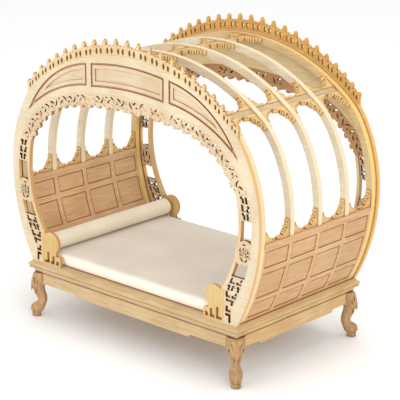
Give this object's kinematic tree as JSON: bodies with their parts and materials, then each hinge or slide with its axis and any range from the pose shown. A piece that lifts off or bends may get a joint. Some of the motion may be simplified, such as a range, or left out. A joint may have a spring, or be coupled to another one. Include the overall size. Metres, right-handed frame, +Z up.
{
  "type": "canopy bed",
  "caption": "Dolls' house bed inside a round barrel-shaped wooden canopy of arched ribs, with carved fretwork arches, panelled end boards, cabriole legs, a mattress and a bolster",
  "frame": {"origin": "on the floor, under the middle of the bed", "axes": "+X points from the head end with the bolster to the foot end, +Y from the front arch to the back arch, +Z up"},
  "size_m": [0.2084, 0.1176, 0.1948],
  "materials": {
    "frame_wood": "bare, sanded",
    "panel_wood": "bare, sanded",
    "fretwork_wood": "bare, carved",
    "golden_carved_wood": "bare, carved",
    "leg_wood": "bare, carved",
    "mattress_cotton": "woven, matt",
    "bolster_cotton": "woven, matt"
  },
  "bodies": {
    "bedstead": {"apron_back": "frame_wood", "apron_foot": "frame_wood", "apron_front": "frame_wood", "apron_head": "frame_wood", "back_corner_scroll_foot": "fretwork_wood", "back_corner_scroll_head": "fretwork_wood", "back_crest": "golden_carved_wood", "back_edge_strips": "frame_wood", "back_end_rib": "frame_wood", "back_fascia": "frame_wood", "back_frieze": "fretwork_wood", "back_lower_fret_foot": "fretwork_wood", "back_lower_fret_head": "fretwork_wood", "back_panel_centre": "panel_wood", "back_panel_foot": "panel_wood", "back_panel_head": "panel_wood", "back_rosettes": "fretwork_wood", "back_spacer": "frame_wood", "back_upper_frets": "fretwork_wood", "footboard_brackets": "golden_carved_wood", "footboard_cap": "frame_wood", "footboard_frame": "frame_wood", "footboard_panels": "panel_wood", "front_corner_scroll_foot": "fretwork_wood", "front_corner_scroll_head": "fretwork_wood", "front_crest": "golden_carved_wood", "front_edge_strips": "frame_wood", "front_end_rib": "frame_wood", "front_fascia": "frame_wood", "front_frieze": "fretwork_wood", "front_lower_fret_foot": "fretwork_wood", "front_lower_fret_head": "fretwork_wood", "front_panel_centre": "panel_wood", "front_panel_foot": "panel_wood", "front_panel_head": "panel_wood", "front_rosettes": "fretwork_wood", "front_spacer": "frame_wood", "front_upper_frets": "fretwork_wood", "headboard_brackets": "golden_carved_wood", "headboard_cap": "frame_wood", "headboard_frame": "frame_wood", "headboard_panels": "panel_wood", "leg_back_foot": "leg_wood", "leg_back_head": "leg_wood", "leg_front_foot": "leg_wood", "leg_front_head": "leg_wood", "moulding_back": "frame_wood", "moulding_foot": "frame_wood", "moulding_front": "frame_wood", "moulding_head": "frame_wood", "platform_board": "frame_wood", "purlins_crown": "frame_wood", "purlins_foot": "frame_wood", "purlins_head": "frame_wood", "rib_back": "frame_wood", "rib_front": "frame_wood", "rib_middle": "frame_wood", "roof_brackets": "golden_carved_wood"},
    "mattress": {"mattress": "mattress_cotton"},
    "bolster": {"bolster": "bolster_cotton"}
  },
  "joints": [
    {"name": "mattress_lift", "type": "slide", "parent": "bedstead", "child": "mattress", "axis": [0, 0, 1], "range_m": [0, 0.02]},
    {"name": "bolster_lift", "type": "slide", "parent": "mattress", "child": "bolster", "axis": [0, 0, 1], "range_m": [0, 0.03]}
  ]
}
